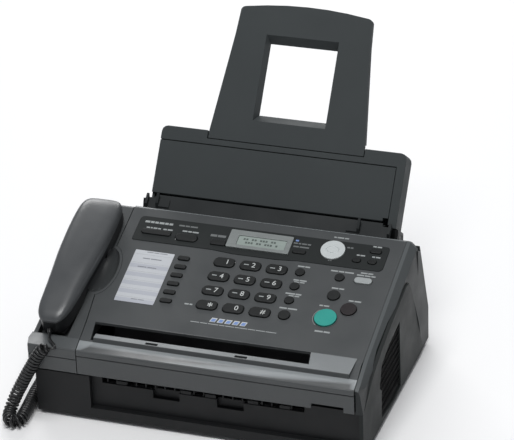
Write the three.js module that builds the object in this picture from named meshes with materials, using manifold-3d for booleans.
// Desktop laser fax machine with a corded handset.
//
// Machine coordinates, in millimetres: x runs to the right, y runs back from the front face of the
// base, z runs up from the table. The last lines move everything so that the origin is the centre of
// the footprint. The control panel slopes: keys, plate, display and handset are laid out in panel
// coordinates (x, d, h), where d runs up the slope and h stands out of it. The paper tray leans back:
// its pieces use tray coordinates (x, d, h) in the same way.

import * as THREE from 'three';
import { mergeVertices } from 'three/addons/utils/BufferGeometryUtils.js';
import Module from 'manifold-3d';

const wasm = await Module();
wasm.setup();

// ---------------------------------------------------------------- driving dimensions

const GAP = 0.4;                 // between fixed neighbours
const SEAM = 0.9;                // between the cradle and the lifting top cover
const RUN = 0.5;                 // around keys and other moving pieces
const WALL = 3;                  // moulded shells

const BASE = { x0: -185, x1: 184, front: 1, rear: 262, foot: 4, top: 56 };
const LEFT_EDGE = -195;          // outside of the handset cradle
const RIGHT_EDGE = 189;          // outside of the right cover
const SHELL_BOTTOM = 57;         // lower edge of the upper covers

const PANEL_SLOPE = 18 * Math.PI / 180;
const PANEL_REF = [0, 157, 128.2];       // on the panel plane, level with the first row of digits
const PANEL_X = { left: -146, leftFront: -134, leftShelf: -138.5, right: 173.5, rightFront: 179 };
const PANEL_REAR = 67;                   // d of the panel's rear edge
const LIP = { bottom: 58, front: -1.6, top: 87.6 };   // front lip of the covers
const SHELF = { rear: 20, top: 88 };     // flat shelf behind the lip
const PAD = { x0: -123, x1: 166, front: 21.5, rear: 53, top: 92.6, topRear: 94.4 };
const EXIT_SLOT = { rearLeft: -132, rearRight: 114.5, frontLeft: -127, frontRight: 119, front: 29.5,
  rear: 52 };
const ROLLER_WINDOWS = [-57, 44.5];      // centres of the small windows in front of the slot

const TRAY_LEAN = 54 * Math.PI / 180;
const TRAY_REF = [8, 250, 153];          // lower front edge of the tray
const TRAY = { half: 145, top: 79, depth: 26, floor: -6 };
const TENSION = { x0: -144.6, x1: 134.5, top: 62, thick: 3 };
const EXTENSION = { base: 70, tongue: 46, top: 232, halfLow: 92, halfHigh: 78, thick: 3.2, x: 3 };

const KEY = { proud: 1.8, deep: 5 };     // above and below the panel surface
const HANDSET = { x: -173, rest: 21, start: -138, length: 190, footHalf: 16.5 };

const COLOURS = {
  panel: 0x5d6063, cover: 0x55585a, casing: 0x2c2d2e, side: 0x3b3d3d, tray: 0x343638,
  plate: 0x1f2122, key: 0x26282a, silver: 0xa9abad, black: 0x161718, label: 0xc9ccd6,
  start: 0x2f9f86, copy: 0x54393c, metal: 0x9a9c9e, board: 0x2d5a3c, cord: 0x1b1c1d,
};

// ---------------------------------------------------------------- solids

function toSolid(geometry) {
  const bare = geometry.clone();
  bare.deleteAttribute('normal');
  bare.deleteAttribute('uv');
  const merged = mergeVertices(bare, 1e-4);
  return new wasm.Manifold(new wasm.Mesh({
    numProp: 3,
    vertProperties: new Float32Array(merged.attributes.position.array),
    triVerts: new Uint32Array(merged.index.array),
  }));
}

function toGeometry(solid) {
  const mesh = solid.getMesh();
  const geometry = new THREE.BufferGeometry();
  geometry.setAttribute('position', new THREE.BufferAttribute(new Float32Array(mesh.vertProperties), 3));
  geometry.setIndex(new THREE.BufferAttribute(new Uint32Array(mesh.triVerts), 1));
  geometry.computeVertexNormals();
  return geometry;
}

function outline(points) {
  return points instanceof THREE.Shape ? points : new THREE.Shape(points.map(([u,
    v]) => new THREE.Vector2(u, v)));
}

function extrude(points, length, segments = 2) {
  return new THREE.ExtrudeGeometry(outline(points), { depth: length, bevelEnabled: false,
    curveSegments: segments });
}

// A prism standing on the x-y plane.
function prismZ(points, z0, z1, segments) {
  return toSolid(extrude(points, z1 - z0, segments).translate(0, 0, z0));
}

// A prism along x whose section is drawn in (y, z).
function prismX(points, x0, x1, segments) {
  const turn = new THREE.Matrix4().set(0, 0, 1, x0, 1, 0, 0, 0, 0, 1, 0, 0, 0, 0, 0, 1);
  return toSolid(extrude(points, x1 - x0, segments).applyMatrix4(turn));
}

function block(x0, x1, y0, y1, z0, z1) {
  const box = new THREE.BoxGeometry(x1 - x0, y1 - y0, z1 - z0);
  return toSolid(box.translate((x0 + x1) / 2, (y0 + y1) / 2, (z0 + z1) / 2));
}

function rodX(radius, x0, x1, y, z, sides = 16) {
  const rod = new THREE.CylinderGeometry(radius, radius, x1 - x0, sides);
  return toSolid(rod.rotateZ(Math.PI / 2).translate((x0 + x1) / 2, y, z));
}

function unite(...solids) {
  return solids.reduce((sum, next) => sum.add(next));
}

function cut(body, ...tools) {
  return tools.reduce((rest, tool) => rest.subtract(tool), body);
}

// A closed skin through equal loops of points, one loop per station, with flat ends.
function loft(loops) {
  const count = loops[0].length;
  const points = loops.flat().map((p) => new THREE.Vector3(...p));
  const faces = [];
  for (let s = 0; s < loops.length - 1; s += 1) {
    for (let i = 0; i < count; i += 1) {
      const a = s * count + i;
      const b = s * count + (i + 1) % count;
      faces.push([a, b, b + count], [a, b + count, a + count]);
    }
  }
  const flat = loops[0].map(([x, , z]) => new THREE.Vector2(x, z));
  const sense = Math.sign(THREE.ShapeUtils.area(flat));
  const cap = THREE.ShapeUtils.triangulateShape(flat, []).map(([a, b, c]) => (
    Math.sign(THREE.ShapeUtils.area([flat[a], flat[b], flat[c]])) === sense ? [a, b, c] : [a, c, b]));
  const last = (loops.length - 1) * count;
  cap.forEach(([a, b, c]) => faces.push([a, c, b], [last + a, last + b, last + c]));
  const geometry = new THREE.BufferGeometry().setFromPoints(points);
  geometry.setIndex(faces.flat());
  if (signedVolume(points, faces) < 0) geometry.setIndex(faces.map(([a, b, c]) => [a, c, b]).flat());
  return toSolid(geometry);
}

function signedVolume(points, faces) {
  return faces.reduce((sum, [a, b, c]) => sum + points[a].dot(points[b].clone().cross(points[c])), 0) / 6;
}

function roundedRect(cx, cy, w, h, r) {
  const x0 = cx - w / 2;
  const y0 = cy - h / 2;
  const shape = new THREE.Shape();
  shape.moveTo(x0 + r, y0);
  shape.lineTo(x0 + w - r, y0);
  shape.absarc(x0 + w - r, y0 + r, r, -Math.PI / 2, 0);
  shape.lineTo(x0 + w, y0 + h - r);
  shape.absarc(x0 + w - r, y0 + h - r, r, 0, Math.PI / 2);
  shape.lineTo(x0 + r, y0 + h);
  shape.absarc(x0 + r, y0 + h - r, r, Math.PI / 2, Math.PI);
  shape.lineTo(x0, y0 + r);
  shape.absarc(x0 + r, y0 + r, r, Math.PI, 1.5 * Math.PI);
  return shape;
}

function ellipse(cx, cy, rx, ry) {
  const shape = new THREE.Shape();
  shape.absellipse(cx, cy, rx, ry, 0, 2 * Math.PI);
  return shape;
}

// ---------------------------------------------------------------- the scene graph

const machine = new THREE.Group();
const panelFrame = new THREE.Group();
panelFrame.position.set(...PANEL_REF);
panelFrame.rotation.x = PANEL_SLOPE;
const trayFrame = new THREE.Group();
trayFrame.position.set(...TRAY_REF);
trayFrame.rotation.x = TRAY_LEAN;
machine.add(panelFrame, trayFrame);

function addPart(name, solid, colour, { roughness = 0.6, metalness = 0, parent = machine } = {}) {
  const material = new THREE.MeshStandardMaterial({ color: colour, roughness, metalness });
  const mesh = new THREE.Mesh(toGeometry(solid), material);
  mesh.name = name;
  parent.add(mesh);
  return mesh;
}

// Panel (d, h) to machine (y, z).
function fromPanel([d, h]) {
  return [PANEL_REF[1] + d * Math.cos(PANEL_SLOPE) - h * Math.sin(PANEL_SLOPE),
    PANEL_REF[2] + d * Math.sin(PANEL_SLOPE) + h * Math.cos(PANEL_SLOPE)];
}

// ---------------------------------------------------------------- control layout, in panel coordinates

const DIGITS = { x0: -18, dx: 30.4, d0: 0, dd: -21.6, w: 24, l: 13.5, r: 5.5 };
const ONE_TOUCH = { x: -65, d0: -2, dd: -12.9, w: 13.5, l: 6 };

const keys = [];
const digitNames = ['1', '2', '3', '4', '5', '6', '7', '8', '9', 'star', '0', 'hash'];
digitNames.forEach((digit, i) => keys.push({
  name: `key_${digit}`, colour: COLOURS.key,
  x: DIGITS.x0 + (i % 3) * DIGITS.dx, d: DIGITS.d0 + Math.floor(i / 3) * DIGITS.dd,
  w: DIGITS.w, l: DIGITS.l, r: DIGITS.r,
}));
for (let i = 0; i < 6; i += 1) {
  keys.push({
    name: `one_touch_${i + 1}`, colour: COLOURS.key,
    x: ONE_TOUCH.x, d: ONE_TOUCH.d0 + i * ONE_TOUCH.dd, w: ONE_TOUCH.w, l: ONE_TOUCH.l, r: 2.2,
  });
}
const roundKeys = [
  ['redial_key', 69.5, 0.5, 10.5], ['flash_key', 69.5, -21, 10.5], ['monitor_key', 69.5, -42, 10.5],
  ['speaker_key', 70.4, -64, 13], ['quick_scan_key', 114.8, 0.5, 10.5], ['stop_key', 115.7, -26.5, 14],
  ['copy_key', 137.5, -43.5, 17.5], ['start_key', 116, -60, 24.5],
];
roundKeys.forEach(([name, x, d, size]) => keys.push({
  name, x, d, w: size, l: size, r: size / 2 - 0.01,
  colour: { start_key: COLOURS.start, copy_key: COLOURS.copy }[name] ?? COLOURS.key,
}));
keys.push({ name: 'auto_receive_key', x: 141.7, d: 0, w: 20, l: 8.5, r: 4.2, colour: COLOURS.silver });

const plateKeys = [
  { name: 'erase_key', x: -108.5, d: 31, w: 35, l: 7, r: 3 },
  { name: 'playback_key', x: -72, d: 29, w: 26, l: 11, r: 5.4 },
  { name: 'tone_key', x: -34, d: 28, w: 17, l: 8, r: 1.5 },
  { name: 'caller_id_key', x: 59.7, d: 30, w: 15, l: 5.5, r: 2.4 },
  { name: 'navigator_key', x: 96.2, d: 39, w: 27.5, l: 27.5, r: 13.7, colour: COLOURS.silver },
  { name: 'menu_key', x: 126.1, d: 29, w: 9.5, l: 6.5, r: 3 },
  { name: 'help_key', x: 143.8, d: 29, w: 9.5, l: 6.5, r: 3 },
  { name: 'set_key', x: 143.9, d: 45, w: 13, l: 6, r: 2.6 },
].map((key) => ({ colour: COLOURS.key, onPlate: true, ...key }));

const PLATE = { x0: -133.5, x1: 158.5, d0: 16.5, d1: 54.5, thick: 1, bulge: 3 };
const DISPLAY = { x: 12.2, d: 36.5, w: 73, l: 26.5, proud: 2.2 };

function keyOpening(key, below, above) {
  return prismZ(roundedRect(key.x, key.d, key.w + 2 * RUN, key.l + 2 * RUN, key.r + RUN), below, above);
}

function plateOutline(inset = 0) {
  const { x0, x1, d0, d1, bulge } = PLATE;
  const shape = new THREE.Shape();
  const r = 7;
  const mid = DISPLAY.x;
  const wide = DISPLAY.w / 2 + 14;
  shape.moveTo(x0 + inset + r, d1 - inset);
  shape.quadraticCurveTo(x0 + inset, d1 - inset, x0 + inset, d1 - inset - r);
  shape.lineTo(x0 + inset, d0 + inset + 3);
  shape.quadraticCurveTo(x0 + inset, d0 + inset, x0 + inset + 3, d0 + inset);
  shape.lineTo(mid - wide, d0 + inset);
  shape.bezierCurveTo(mid - wide / 2, d0 + inset - bulge, mid + wide / 2, d0 + inset - bulge, mid + wide,
    d0 + inset);
  shape.lineTo(x1 - inset - 8, d0 + inset);
  shape.quadraticCurveTo(x1 - inset, d0 + inset, x1 - inset, d0 + inset + 6);
  shape.lineTo(x1 - inset, d1 - inset - r);
  shape.quadraticCurveTo(x1 - inset, d1 - inset, x1 - inset - r, d1 - inset);
  return shape;
}

// ---------------------------------------------------------------- top cover: panel, plate, display, keys

// Section of the top cover's outer skin from the lip's lower edge to the rear edge, in (y, z).
const rearTop = fromPanel([PANEL_REAR, 0]);
const LIP_EDGE = [[LIP.front, LIP.top - 1.5], [LIP.front + 1.4, LIP.top], [SHELF.rear, SHELF.top]];
const GROOVE = { cover: 80.5, cradle: 75.5 };     // heights of the line along the lip's face

function lipSkin(groove) {
  return [[LIP.front + 1, LIP.bottom], [LIP.front + 0.7, groove - 1], [LIP.front + 1.4, groove - 0.5],
    [LIP.front + 1.4, groove + 0.4], [LIP.front, groove + 1], ...LIP_EDGE];
}
const PAD_STEP = [PAD.front, PAD.top];
const REAR_SKIN = [
  [PAD.rear, PAD.topRear], rearTop, [rearTop[0] + 5.5, rearTop[1] - 1.2], [rearTop[0] + 8, rearTop[1] - 5.5],
];
const REAR_INNER = [
  [rearTop[0] + 4.6, rearTop[1] - 6.5], [rearTop[0] - 0.5, rearTop[1] - WALL], [PAD.rear + 0.6,
    PAD.topRear - WALL],
];
const PAD_INNER = [PAD.front + 3, PAD.top - WALL];
const LIP_INNER = [[SHELF.rear + 2.4, SHELF.top - WALL], [3.4, LIP.top - WALL], [1.8, LIP.bottom]];

// Plan of the seam between the cradle and the panel, in (x, y), with the lobe of the finger well.
const WELL = { x: -150, d: -34, rx: 19, rd: 38 };
function leftSeam(shift) {
  return [[PANEL_X.leftFront + shift, -5], [PANEL_X.leftShelf + shift, SHELF.rear],
    [PANEL_X.left + 3.5 + shift, 56], [PANEL_X.left + shift, 90], [PANEL_X.left + shift, 240]];
}
function rightSeam(shift) {
  return [[PANEL_X.rightFront + shift, -5], [PANEL_X.right + shift, 42], [PANEL_X.right + shift, 270]];
}

// Ribs along the underside of the panel.
function ribsUnderPanel() {
  return unite(...[-100, 60, 160].map((x) => block(x, x + 2, -95, 60, -9, -WALL + 0.5)));
}

// The skin between the seams, with the raised pad only in front of the document slot.
function coverSkin() {
  const skin = lipSkin(GROOVE.cover);
  const plain = [...skin, ...REAR_SKIN, ...REAR_INNER, ...LIP_INNER];
  const padded = [...skin, PAD_STEP, ...REAR_SKIN, ...REAR_INNER, PAD_INNER, ...LIP_INNER];
  const padEnd = [...skin, PAD_STEP, ...REAR_SKIN, ...REAR_INNER, ...LIP_INNER];
  const { x0, x1 } = PAD;
  return unite(prismX(plain, -160, x0 + 1), prismX(padEnd, x0, x0 + WALL), prismX(padded, x0 + 2, x1 - 2),
    prismX(padEnd, x1 - WALL, x1), prismX(plain, x1 - 1, 190));
}

// The slot the documents leave by; its ends flare, and a gap runs forward at the pad's left end.
function exitSlot() {
  const { rearLeft, rearRight, frontLeft, frontRight, front, rear } = EXIT_SLOT;
  return prismZ([[rearLeft, rear], [frontLeft, PAD.front + 1], [PAD.x0 - 0.5, PAD.front + 1], [PAD.x0 - 0.5,
    front],
    [frontRight, front], [rearRight, rear]], 70, 120);
}

function controlPanel() {
  const plan = prismZ([...leftSeam(0), ...rightSeam(-GAP).reverse()], 0, 200);
  const placed = coverSkin().intersect(plan);
  const rollerWindows = ROLLER_WINDOWS.map((x) => block(x - 7, x + 7, PAD.front + 1.3, PAD.front + 5.3, 80,
    100));
  const low = LIP.bottom;
  const fingerNotch = prismX([[-5, low - 1], [-5, low + 5], [8, low + 9], [8, low - 1]], 130, 166);
  const inPanel = inFrame(cut(placed, exitSlot(), ...rollerWindows, fingerNotch), panelFrame);
  const openings = [...keys, ...plateKeys].map((key) => keyOpening(key, -WALL - 8, 4));
  const well = prismZ(ellipse(WELL.x, WELL.d, WELL.rx + GAP, WELL.rd + GAP), -30, 30, 8);
  const plateSeat = prismZ(plateOutline(), -PLATE.thick - GAP, 5, 3);
  const display = block(DISPLAY.x - DISPLAY.w / 2 + 3, DISPLAY.x + DISPLAY.w / 2 - 3,
    DISPLAY.d - DISPLAY.l / 2 + 3, DISPLAY.d + DISPLAY.l / 2 - 3, -WALL - 8, 4);
  return cut(unite(inPanel, ribsUnderPanel()), ...openings, well, plateSeat, display);
}

// Machine coordinates to the coordinates of a turned frame.
function inFrame(solid, frame) {
  frame.updateMatrix();
  const inverse = frame.matrix.clone().invert();
  return toSolid(toGeometry(solid).applyMatrix4(inverse));
}

function panelPlate() {
  const body = prismZ(plateOutline(GAP), -PLATE.thick, 0.4, 3);
  const openings = plateKeys.map((key) => keyOpening(key, -5, 5));
  const window = block(DISPLAY.x - DISPLAY.w / 2 - GAP, DISPLAY.x + DISPLAY.w / 2 + GAP,
    DISPLAY.d - DISPLAY.l / 2 - GAP, DISPLAY.d + DISPLAY.l / 2 + GAP, -5, 5);
  return cut(body, ...openings, window);
}

function displayBezel() {
  const { x, d, w, l, proud } = DISPLAY;
  const rim = prismZ(roundedRect(x, d, w, l, 1.5), -PLATE.thick, proud, 2);
  const tub = block(x - w / 2 + 4, x + w / 2 - 4, d - l / 2 + 4, d + l / 2 - 4, -7, 0);
  const glassSeat = block(x - 28, x + 28, d - 7.5, d + 7.5, proud - 1.6, proud + 2);
  return cut(unite(rim, tub), glassSeat);
}

function keyCap(key) {
  const { x, d, w, l, r } = key;
  const bottom = key.onPlate ? -KEY.deep - 1 : -KEY.deep;
  const body = prismZ(roundedRect(x, d, w, l, r), bottom, KEY.proud);
  if (key.name !== 'navigator_key') return body;
  const groove = cut(prismZ(ellipse(x, d, 7.4, 5.4), KEY.proud - 0.8, KEY.proud + 1, 8),
    prismZ(ellipse(x, d, 6.6, 4.6), KEY.proud - 2, KEY.proud + 2, 8));
  return cut(body, groove);
}

addPart('control_panel', controlPanel(), COLOURS.panel, { parent: panelFrame });
addPart('panel_plate', panelPlate(), COLOURS.plate, { roughness: 0.45, parent: panelFrame });
addPart('display_bezel', displayBezel(), COLOURS.silver, { roughness: 0.35, metalness: 0.4,
  parent: panelFrame });
for (const key of [...keys, ...plateKeys]) {
  addPart(key.name, keyCap(key), key.colour, { roughness: 0.5, parent: panelFrame });
}

// Document exit roller: a shaft with four rubber sleeves, under the pad.
function exitRoller() {
  const y = 36;
  const z = 80;
  const sleeves = [-95, -48, 30, 78].map((x) => rodX(6.5, x, x + 22, y, z, 12));
  return unite(rodX(3, -124, 112, y, z, 8), ...sleeves);
}
addPart('exit_roller', exitRoller(), COLOURS.black, { roughness: 0.9 });

// ---------------------------------------------------------------- document feeder behind the panel

const DECK = { x0: -140.4, x1: 149, front: [234.5, 140], rear: [245.5, 149.4], ledge: [248.6, 152], thick: 2.4 };

function feederDeck() {
  const [y0, z0] = DECK.front;
  const [y1, z1] = DECK.rear;
  const t = DECK.thick;
  const floor = prismX([[y0, z0], [y1, z1], [y1, z1 - t], [y0, z0 - t]], DECK.x0, DECK.x1);
  const apron = block(DECK.x0, DECK.x1, y0, y0 + 2, z0 - 14, z0 - 1);
  const cheek = (x) => prismX([[y0, z0 - 2], [y0, z0 + 7], [y1, z1 + 5], [y1, z1 - t]], x, x + 3);
  const [y2, z2] = DECK.ledge;
  const ledge = prismX([[y1 - 0.5, z1 - 0.43], [y2, z2], [y2, z2 - t], [y1 - 0.5, z1 - t]], -130, 138);
  return unite(floor, apron, ledge, cheek(DECK.x0), cheek(DECK.x1 - 3));
}
addPart('feeder_deck', feederDeck(), COLOURS.tray);

// Document guides: a low fin with a foot that slides along the deck.
const GUIDES = { left: -126, right: 112, thick: 3 };
function guide(x, side) {
  const [y0, z0] = DECK.front;
  const [y1, z1] = DECK.rear;
  const lift = 0.5;
  const fin = prismX([[y0 + 1.5, z0 + 2], [y0 + 2, z0 + 8], [y1 - 1.6, z1 + 8], [y1 - 1.6, z1 - 0.4]],
    x - GUIDES.thick / 2, x + GUIDES.thick / 2);
  const foot = prismX([[y0 + 2, z0 + 1.9 + lift], [y1 - 2, z1 - 1.4 + lift], [y1 - 2, z1 + 0.1 + lift],
    [y0 + 2, z0 + 3.4 + lift]],
    Math.min(x, x - side * 14), Math.max(x, x - side * 14));
  return unite(fin, foot);
}
addPart('guide_left', guide(GUIDES.left, -1), COLOURS.tray);
addPart('guide_right', guide(GUIDES.right, 1), COLOURS.tray);

// ---------------------------------------------------------------- paper tray, tension plate, extension

function paperTray() {
  const { half, top, depth, floor } = TRAY;
  const back = block(-half, half, floor, top, -depth, -depth + WALL);
  const leftWall = block(-half, -half + WALL, floor, top, -depth, -TENSION.thick - 0.6);
  const rightWall = block(half - 10, half, floor, top, -depth, 0);
  const sill = block(-half, half, floor, floor + WALL, -depth, -6);
  const rim = block(-half, half, TENSION.top + 1, top, -13, 0);
  const x = EXTENSION.x;
  const notch = block(x - EXTENSION.halfLow - 1, x + EXTENSION.halfLow + 1, EXTENSION.base - 0.5, top + 5,
    -7.5, 5);
  const tongueSlit = block(x - 71, x + 71, 40, top + 5, -10.1, -6.3);
  const roundLeft = cornerCut(-half, top, 7, 1);
  const roundRight = cornerCut(half, top, 7, -1);
  return cut(unite(back, leftWall, rightWall, sill, rim), notch, tongueSlit, roundLeft, roundRight);
}

// What a rounded corner of radius r at (x, y) leaves over; side is +1 for a left corner.
function cornerCut(x, y, r, side) {
  const square = block(Math.min(x - side, x + side * r), Math.max(x - side, x + side * r), y - r, y + 1,
    -60, 60);
  const round = prismZ(ellipse(x + side * r, y - r, r, r), -60, 60, 6);
  return square.subtract(round);
}

function tensionPlate() {
  const { x0, x1, top, thick } = TENSION;
  const plate = block(x0, x1, 1.2, top, -thick, 0);
  const stiffener = [-90, 0, 90].map((x) => block(x - 1, x + 1, 6, EXTENSION.tongue - 4, -thick - 3,
    -thick + 0.5));
  const pinBoss = rodX(2.4, x0 + 4, x1, 2.6, -2.6, 12);
  const cornerNotch = block(x1 - 6, x1 + 1, 0, 4.5, -10, 5);
  return cut(unite(plate, ...stiffener, pinBoss), cornerNotch);
}

function trayExtension() {
  const { base, tongue, top, halfLow, halfHigh, thick, x } = EXTENSION;
  const shape = new THREE.Shape();
  shape.moveTo(x - halfLow, base + 0.4);
  shape.lineTo(x - halfLow, base + 10);
  shape.lineTo(x - halfHigh - 2, top - 40);
  shape.lineTo(x - halfHigh, top - 10);
  shape.quadraticCurveTo(x - halfHigh + 1, top - 6, x - halfHigh + 6, top - 5.5);
  shape.quadraticCurveTo(x, top + 6, x + halfHigh - 6, top - 5.5);
  shape.quadraticCurveTo(x + halfHigh - 1, top - 6, x + halfHigh, top - 10);
  shape.lineTo(x + halfHigh + 2, top - 40);
  shape.lineTo(x + halfLow, base + 10);
  shape.lineTo(x + halfLow, base + 0.4);
  const face = prismZ(shape, -thick - 1, -1, 6);
  const flange = cut(prismZ(shape, -9, -1.5, 6), prismZ(insetTrapezoid(x, 3), -12, 5, 6));
  const collar = prismZ(roundedRect(x, 146, 92, 106, 4), -13, -1.2, 3);
  const tongues = unite(block(x - 70, x + 70, tongue, base + 4, -9.6, -6.8),
    block(x - 70, x + 70, base + 0.8, base + 4, -9, -2));
  const opening = windowFunnel(x, 146, 43, 50, 39.5, 41.5);
  return cut(unite(face, flange.intersect(prismZ([[x - 120, base + 14], [x + 120, base + 14], [x + 120,
    top + 9], [x - 120, top + 9]], -20, 5)),
    collar, tongues), opening);
}

function insetTrapezoid(x, inset) {
  const { base, top, halfLow, halfHigh } = EXTENSION;
  return [[x - halfLow + inset, base - 5], [x + halfLow - inset, base - 5],
    [x + halfHigh - inset, top - 6 - inset], [x - halfHigh + inset, top - 6 - inset]];
}

// The bevelled window: wide at the front, narrower at the back.
function windowFunnel(x, y, frontW, frontL, backW, backL) {
  const ring = (w, l, z) => [[x - w, y - l, z], [x + w, y - l, z], [x + w, y + l, z], [x - w, y + l, z]];
  const loops = [ring(backW, backL, -20), ring(backW, backL, -13), ring(frontW, frontL, -1), ring(frontW,
    frontL, 5)];
  return loftAlongZ(loops);
}

function loftAlongZ(loops) {
  const swapped = loops.map((loop) => loop.map(([a, b, c]) => [a, c, b]));
  const turned = toGeometry(loft(swapped));
  const swap = new THREE.Matrix4().set(1, 0, 0, 0, 0, 0, 1, 0, 0, 1, 0, 0, 0, 0, 0, 1);
  turned.applyMatrix4(swap);
  const index = Array.from(turned.index.array);
  const flipped = [];
  for (let i = 0; i < index.length; i += 3) flipped.push(index[i], index[i + 2], index[i + 1]);
  turned.setIndex(flipped);
  return toSolid(turned);
}

addPart('paper_tray', paperTray(), COLOURS.tray, { parent: trayFrame });
addPart('tension_plate', tensionPlate(), COLOURS.tray, { parent: trayFrame });
addPart('tray_extension', trayExtension(), COLOURS.tray, { parent: trayFrame });

// ---------------------------------------------------------------- handset and its cradle

// Heights over the panel plane along the handset: its back, the line between shell and face, and its
// underside; then half of its width.
const BACK = [[0, 22.5], [3, 26], [10, 28.8], [28, 31], [60, 32.8], [95, 33.5], [130, 33], [158, 31.5],
  [174, 29.5],
  [183, 27], [187, 24.5], [190, 20]];
const PARTING = [[0, 20.5], [12, 20.5], [45, 18], [190, 18]];
const UNDER = [[0, 8], [3, 2], [8, -6], [46, -6], [58, 4], [68, 7], [122, 7], [132, 4], [140, -6], [180,
  -6], [186, -1],
  [190, 7]];
const HALF_WIDTH = [[0, 7.5], [2, 10.5], [5, 13], [10, 15.6], [16, 17.3], [22, 18.4], [58, 21], [113, 25.2],
  [150, 26], [170, 25.2], [180, 23.4], [186, 20], [190, 14]];

function heightAt(profile, s) {
  const next = profile.findIndex(([at]) => at >= s);
  if (next <= 0) return profile[0][1];
  const [s0, h0] = profile[next - 1];
  const [s1, h1] = profile[next];
  return h0 + (h1 - h0) * (s - s0) / (s1 - s0);
}

function shellBottom(s) {
  return Math.min(heightAt(PARTING, s), heightAt(BACK, s) - 2.4);
}

function handsetLoop(s, low, high) {
  const w = heightAt(HALF_WIDTH, s);
  const side = [[1, 0], [1, 0.35], [0.93, 0.68], [0.74, 0.9], [0.4, 1]];
  const profile = side.map(([u, v]) => [u * w, low + (high - low) * v]);
  const mirrored = profile.map(([u, v]) => [-u, v]).reverse();
  return [...profile, ...mirrored].map(([x, h]) => [HANDSET.x + x, HANDSET.start + s, h]);
}

const STATIONS = [0, 3, 8, 12, 20, 28, 46, 58, 68, 95, 113, 122, 132, 140, 150, 165, 174, 180, 186, 190];

function handsetShell() {
  return loft(STATIONS.map((s) => handsetLoop(s, shellBottom(s), heightAt(BACK, s))));
}

function handsetFace() {
  const loops = STATIONS.map((s) => {
    const high = shellBottom(s) - 0.35;
    const low = Math.min(heightAt(UNDER, s), high - 5);
    const w = heightAt(HALF_WIDTH, s) - 1;
    const foot = Math.min(w - 2, HANDSET.footHalf);
    const half = [[w, high], [w, Math.max(low + 3.2, 3)], [foot, Math.max(low + 1.4, 0.8)], [foot - 2, low]];
    const mirrored = half.map(([x, h]) => [-x, h]).reverse();
    return [...half, ...mirrored].map(([x, h]) => [HANDSET.x + x, HANDSET.start + s, h]);
  });
  return loft(loops);
}

addPart('handset_shell', handsetShell(), COLOURS.cover, { roughness: 0.45, parent: panelFrame });
addPart('handset_face', handsetFace(), COLOURS.black, { parent: panelFrame });

// Cradle cover: a shell with a pocket for the handset and a scooped finger well beside it.
const CRADLE = { floor: -16, wellDepth: 9 };

function cradleOuter(inset) {
  const face = inset > 0 ? [[LIP.front + 1, LIP.bottom], ...LIP_EDGE] : lipSkin(GROOVE.cradle);
  const skin = face.map(([y, z]) => [y + inset, z - inset]);
  const body = [[SHELF.rear + 3, SHELF.top], ...[[-104, 0], [PANEL_REAR, 0]].map(fromPanel)].map(([y,
    z]) => [y, z - inset]);
  const rear = [[236 - inset, 133], [262 - 0.6 * inset, SHELL_BOTTOM + 2]];
  return [...skin, ...body, ...rear, [262 - 0.6 * inset, SHELL_BOTTOM]];
}

function leftCover() {
  const outer = prismX([...cradleOuter(0)], LEFT_EDGE, -100);
  const plan = prismZ([...leftSeam(-SEAM), [PANEL_X.left - SEAM, 262], [LEFT_EDGE + 6, 262], [LEFT_EDGE, 240],
    [LEFT_EDGE, 12], [LEFT_EDGE + 6, -5]], 0, 200);
  const lobe = prismZ(ellipse(WELL.x, WELL.d, WELL.rx, WELL.rd), -CRADLE.floor - 40, 20, 8);
  const trimmed = inFrame(outer, panelFrame).intersect(unite(inFrame(plan, panelFrame), lobe));
  const hollow = prismX(cradleOuter(WALL), LEFT_EDGE + WALL, -100);
  const hollowPlan = prismZ([...leftSeam(-SEAM - WALL), [PANEL_X.left - SEAM - WALL, 262 - WALL],
    [LEFT_EDGE + 9, 262 - WALL], [LEFT_EDGE + WALL, 238], [LEFT_EDGE + WALL, 14], [LEFT_EDGE + 9, 4]], 0,
      200);
  const inner = inFrame(hollow.intersect(hollowPlan), panelFrame);
  const { x, footHalf, start, length } = HANDSET;
  const pocket = (s0, s1, floor) => block(x - footHalf - 1, x + footHalf + 1.2, start + s0, start + s1,
    floor, 40);
  const basin = block(LEFT_EDGE + 1, x + footHalf + 5, start - 1, start + length + 2.5, CRADLE.floor + 1, 2);
  const basinPlan = inFrame(plan, panelFrame);
  const scoop = ellipsoid(WELL.x, WELL.d, 3, WELL.rx - 2.5, WELL.rd - 3, 17);
  const scoopShell = unite(ellipsoid(WELL.x, WELL.d, 3, WELL.rx - 0.5, WELL.rd - 1, 19.5),
    basin.intersect(basinPlan))
    .intersect(inFrame(prismX([...cradleOuter(0)], LEFT_EDGE, -100), panelFrame))
    .intersect(unite(inFrame(plan, panelFrame), lobe));
  const shell = unite(trimmed.subtract(inner), scoopShell);
  const deep = -CRADLE.wellDepth;
  const pockets = [pocket(-1.2, 62, deep), pocket(128, length + 1.2, deep), pocket(60, 130, -2)];
  const frontRest = block(x - HANDSET.rest - 2, x + HANDSET.rest + 1, start - 1.2, start + 45, 0.3, 40);
  const plunger = block(x - 4, x + 4, 6, 18, -40, 5);
  return cut(shell, ...pockets, frontRest, scoop, plunger);
}

function ellipsoid(cx, cy, cz, rx, ry, rz) {
  return toSolid(new THREE.SphereGeometry(1, 20, 12).scale(rx, ry, rz).translate(cx, cy, cz));
}

addPart('cradle_cover', leftCover(), COLOURS.cover, { parent: panelFrame });

// Hook switch: a plunger in the ear end of the cradle, held down by the handset.
function hookSwitch() {
  const x = HANDSET.x;
  return unite(block(x - 3.4, x + 3.4, 6.6, 17.4, -20, -6.4), block(x - 6, x + 6, 5, 19, -22, -18));
}
addPart('hook_switch', hookSwitch(), COLOURS.casing, { parent: panelFrame });

// ---------------------------------------------------------------- right cover and side door

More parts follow.
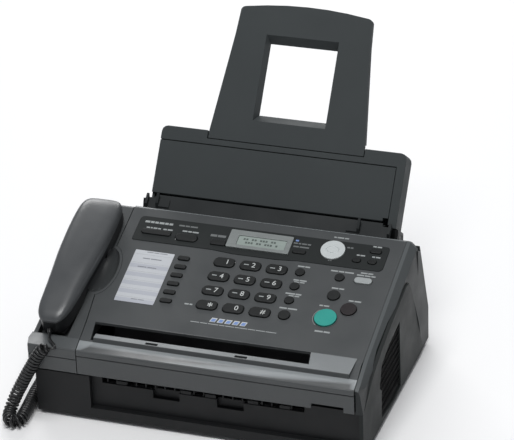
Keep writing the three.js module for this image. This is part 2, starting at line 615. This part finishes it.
const ARCH = [[0, 57], [19, 68], [34, 79], [54, 88.5], [73, 96], [112, 107.8], [151, 117], [172, 121.5],
  [181, 120.5], [190, 108], [198, 92], [214, 54], [230, 20], [234, 12]];

const VENT = [[142, 93], [99, 87], [72, 78], [63.5, 54], [71, 47], [70, 13], [116, 8], [144, 11]];
const VENT_LOUVRES = { low: 18, high: 84, pitch: 8, slit: 2.6 };

function rightLoop(y, top) {
  const seam = y < 42 ? PANEL_X.rightFront + (PANEL_X.right - PANEL_X.rightFront) * Math.max(0,
    (y + 5) / 47) : PANEL_X.right;
  const x = seam;
  const out = RIGHT_EDGE;
  const mid = Math.min(top - 24, 96);
  const outer = [[x, top], [x + 4, top - 1], [184.5, top - 8], [186.5, mid], [out - 1, 50], [185.5, 5]];
  const inner = [[182.5, 5], [out - 4, 50], [183.4, mid], [Math.max(181.6, x + 2.6), top - 10], [x + 2.5,
    top - 4.2], [x, top - 4.2]];
  return [...outer, ...inner].map(([px, pz]) => [px, y, pz]);
}

function rightCover() {
  const rearY = rearTop[0] + 6;
  const stations = [[0.6, 86], [2, 87], [SHELF.rear, SHELF.top], [PAD.rear, PAD.topRear],
    [rearTop[0], rearTop[1]], [rearY, rearTop[1] - 2.5], [rearY + 4, rearTop[1] - 9]];
  const walls = loft(stations.map(([y, top]) => rightLoop(y, top)));
  const rearWall = prismX([[rearY + 1, 141], [rearY + 4, 134], [258, SHELL_BOTTOM], [254.5, SHELL_BOTTOM],
    [rearY + 1, 130]],
    PANEL_X.right, 186);
  const sideRear = prismX([[rearY - 6, 138], [rearY + 3, 134], [262, 46], [262, 5], [rearY - 6, 5]], 182.6,
    186);
  const door = prismX(ARCH.concat([[234, 3], [-5, 3], [-5, 57]]), 150, 200);
  const corners = [[179.1, 84], [184, 80], [187.5, SHELL_BOTTOM], [179.1, SHELL_BOTTOM]];
  const frontCap = loft([0.6, 3.6].map((y) => corners.map(([x, z]) => [x, y, z])));
  return cut(unite(walls, rearWall, sideRear, frontCap), door);
}

// Side door with a recessed vent whose louvres slope.
function sideDoor() {
  const body = prismX(shrink(ARCH.concat([[234, 5], [1, 5]]), GAP), 182.6, 187);
  const vent = prismX(VENT, 184.5, 190);
  const louvres = [];
  for (let z = VENT_LOUVRES.low; z < VENT_LOUVRES.high; z += VENT_LOUVRES.pitch) {
    louvres.push(block(180, 190, 60, 160, z, z + VENT_LOUVRES.slit));
  }
  const slits = unite(...louvres).intersect(prismX(shrink(VENT, 2), 180, 190));
  return cut(body, vent, slits);
}

// Moves an outline's points towards its middle.
function shrink(points, by) {
  const cy = points.reduce((sum, p) => sum + p[0], 0) / points.length;
  const cz = points.reduce((sum, p) => sum + p[1], 0) / points.length;
  return points.map(([y, z]) => {
    const reach = Math.hypot(y - cy, z - cz);
    return [y - (y - cy) / reach * by * 2, z - (z - cz) / reach * by * 2];
  });
}

addPart('right_cover', rightCover(), COLOURS.cover);
addPart('side_door', sideDoor(), COLOURS.side);

// ---------------------------------------------------------------- lower casing and rear cover

function lowerCasing() {
  const { x0, x1, front, rear, foot, top } = BASE;
  const tub = cut(block(x0, x1, front, rear, foot, top), block(x0 + WALL, x1 - WALL - 3, front + 14,
    rear - WALL, foot + WALL, top + 5));
  const recess = block(-122, x1 - 1, front - 5, front + 7, 16, top + 5);
  const pockets = [-36.5, 36.5].map((x) => block(x - 15, x + 15, front - 5, front + 12, 36, top + 5));
  const exit = block(-110, 120, front - 5, front + 20, top - 10, top + 5);
  const sideStep = block(x1 - 2.2, x1 + 5, front - 5, rear + 5, 4.5, top + 5);
  const feet = [[x0 + 24, 18], [x1 - 24, 18], [x0 + 24, 240], [x1 - 24, 240]].map(([x, y]) => toSolid(
    new THREE.CylinderGeometry(9, 8, foot + 1, 16).rotateX(Math.PI / 2).translate(x, y, (foot + 1) / 2)));
  const handsetJack = block(x0 - 1, x0 + WALL + 1, 66, 74, 17.5, 25.5);
  return unite(cut(tub, recess, ...pockets, exit, sideStep, handsetJack, ...rearSockets()), ...feet);
}

// Holes for the mains inlet and the two line jacks, through the rear walls.
function rearSockets() {
  const jacks = [60, 78].map((x) => block(x, x + 12, 250, 275, 18, 29));
  return [block(100, 128, 250, 275, 16, 38), ...jacks];
}

// Rear cover: the hump that carries the tray, with openings for the mains inlet and the jacks.
function rearCover() {
  const outside = [[246.6, 147], [267, 132.2], [266, 119], [266, 8]];
  const section = [[246.6, 122], ...outside, [262.5, 8], [262.5, 118], [263.4, 130.8], [249.6, 140.9],
    [249.6, 122]];
  const skin = prismX(section, -144, 156);
  const hump = [[240, 128], ...outside, [262.5, 8], [262.5, 58]];
  const corner = [[230, 140], [237, 131], [265.6, 56], [265.6, 9], [262.4, 9], [262.4, 56.5], [234, 128],
    [230, 134]];
  const ends = [prismX(hump, -145.5, -142.5), prismX(hump, 152.5, 155.5), prismX(corner, 154, 173.1),
    prismX(corner, -146.5, -144)];
  const vents = [];
  for (let x = -120; x <= 0; x += 12) vents.push(block(x, x + 5, 255, 275, 66, 96));
  return cut(unite(skin, ...ends), ...vents, ...rearSockets());
}

addPart('lower_casing', lowerCasing(), COLOURS.casing);
addPart('rear_cover', rearCover(), COLOURS.casing);

// ---------------------------------------------------------------- works inside the base

function printCartridge() {
  const hopper = prismX([[66, 62], [72, 84], [112, 92], [128, 84], [122, 62]], -118, 118);
  const drum = rodX(14, -112, 112, 94, 56, 20);
  const handle = block(-30, 30, 110, 124, 80, 99);
  return unite(hopper, drum, handle);
}

function laserUnit() {
  const box = block(-105, 105, 150, 218, 62, 88);
  const mirrorHouse = rodZ(26, 0, 184, 80, 98);
  const lensSlot = block(-80, 80, 146, 153, 68, 76);
  return cut(unite(box, mirrorHouse), lensSlot);
}

function rodZ(radius, x, y, z0, z1) {
  return toSolid(new THREE.CylinderGeometry(radius, radius, z1 - z0, 20).rotateX(Math.PI / 2).translate(x,
    y, (z0 + z1) / 2));
}

function fuserUnit() {
  const heatRoller = rodX(11, -116, 116, 36, 56.5, 18);
  const frame = block(-122, 122, 28, 46, 22, 40);
  const posts = [-122, 116].map((x) => block(x, x + 6, 26, 48, 22, 66));
  return unite(heatRoller, frame, ...posts);
}

function mainBoard() {
  const parts = [block(-150, 150, 90, 245, 12, 14), block(-60, -20, 130, 170, 13, 18), block(10, 34, 140,
    164, 13, 17),
    block(90, 130, 190, 230, 13, 44), block(60, 82, 200, 225, 13, 34), block(-140, -110, 200, 240, 13, 30)];
  return unite(...parts);
}

addPart('print_cartridge', printCartridge(), COLOURS.black);
addPart('laser_unit', laserUnit(), COLOURS.metal, { metalness: 0.6 });
addPart('fuser_unit', fuserUnit(), COLOURS.metal, { metalness: 0.5 });
addPart('main_board', mainBoard(), COLOURS.board);

// ---------------------------------------------------------------- handset cord

const CORD = { wire: 3.2, coil: 15, sides: 8 };
const COIL_ROUTE = [
  [-162, -10.5, 90.5], [-167, -10.5, 89.8], [-172, -10.5, 85.5], [-177, -10.5, 78], [-182.5, -10.5, 68],
    [-189, -10.5, 56.5],
  [-196, -10.8, 43], [-202.5, -12, 30], [-207, -15, 19], [-208.5, -21.5, 11.3], [-206.5, -30, 8.6], [-201.5,
    -36, 8.4],
  [-195.5, -35.5, 8.4], [-192.5, -28.5, 8.4], [-193.3, -17, 8.4], [-194.7, -4, 8.4], [-196.5, 10, 8.4],
    [-198.5, 26, 8.4],
  [-199.5, 42, 9], [-198.5, 56, 14],
];
const LEAD_ROUTE = [[-174, 21.6, 93.6], [-172.4, 16.5, 91.6], [-169, 9.5, 90.6], [-164, 3.4, 90.5], [-159.6,
  -0.6, 90.7],
  [-157.6, -5, 90.9], [-157.6, -9, 90.7], [-159.3, -10.5, 90.6]];
const TAIL_ROUTE = [[-198.4, 57.4, 14.7], [-197.2, 62, 17.4], [-194, 67.2, 20.4], [-189.4, 69.6, 21.4],
  [-183.8, 70, 21.5]];

function tube(route, diameter, sides, steps) {
  const curve = new THREE.CatmullRomCurve3(route.map((p) => new THREE.Vector3(...p)));
  const section = new THREE.Shape();
  for (let i = 0; i < sides; i += 1) {
    const angle = (i + 0.5) / sides * 2 * Math.PI;
    const point = [Math.cos(angle) * diameter / 2, Math.sin(angle) * diameter / 2];
    if (i === 0) section.moveTo(...point);
    else section.lineTo(...point);
  }
  return toSolid(new THREE.ExtrudeGeometry(section, { extrudePath: curve, steps, bevelEnabled: false }));
}

addPart('cord_coil', tube(COIL_ROUTE, CORD.coil, 10, 46), COLOURS.cord, { roughness: 0.7 });
addPart('cord_lead', tube(LEAD_ROUTE, CORD.wire, CORD.sides, 8), COLOURS.cord, { roughness: 0.7 });
addPart('cord_tail', tube(TAIL_ROUTE, CORD.wire, CORD.sides, 6), COLOURS.cord, { roughness: 0.7 });

// ---------------------------------------------------------------- origin: centre of the footprint

machine.updateMatrixWorld(true);
const bounds = new THREE.Box3();
machine.traverse((node) => {
  if (node.isMesh && !node.name.startsWith('cord_')) bounds.expandByObject(node, true);
});
const middle = bounds.getCenter(new THREE.Vector3());
machine.position.set(-middle.x, -middle.y, -bounds.min.z);

export default machine;
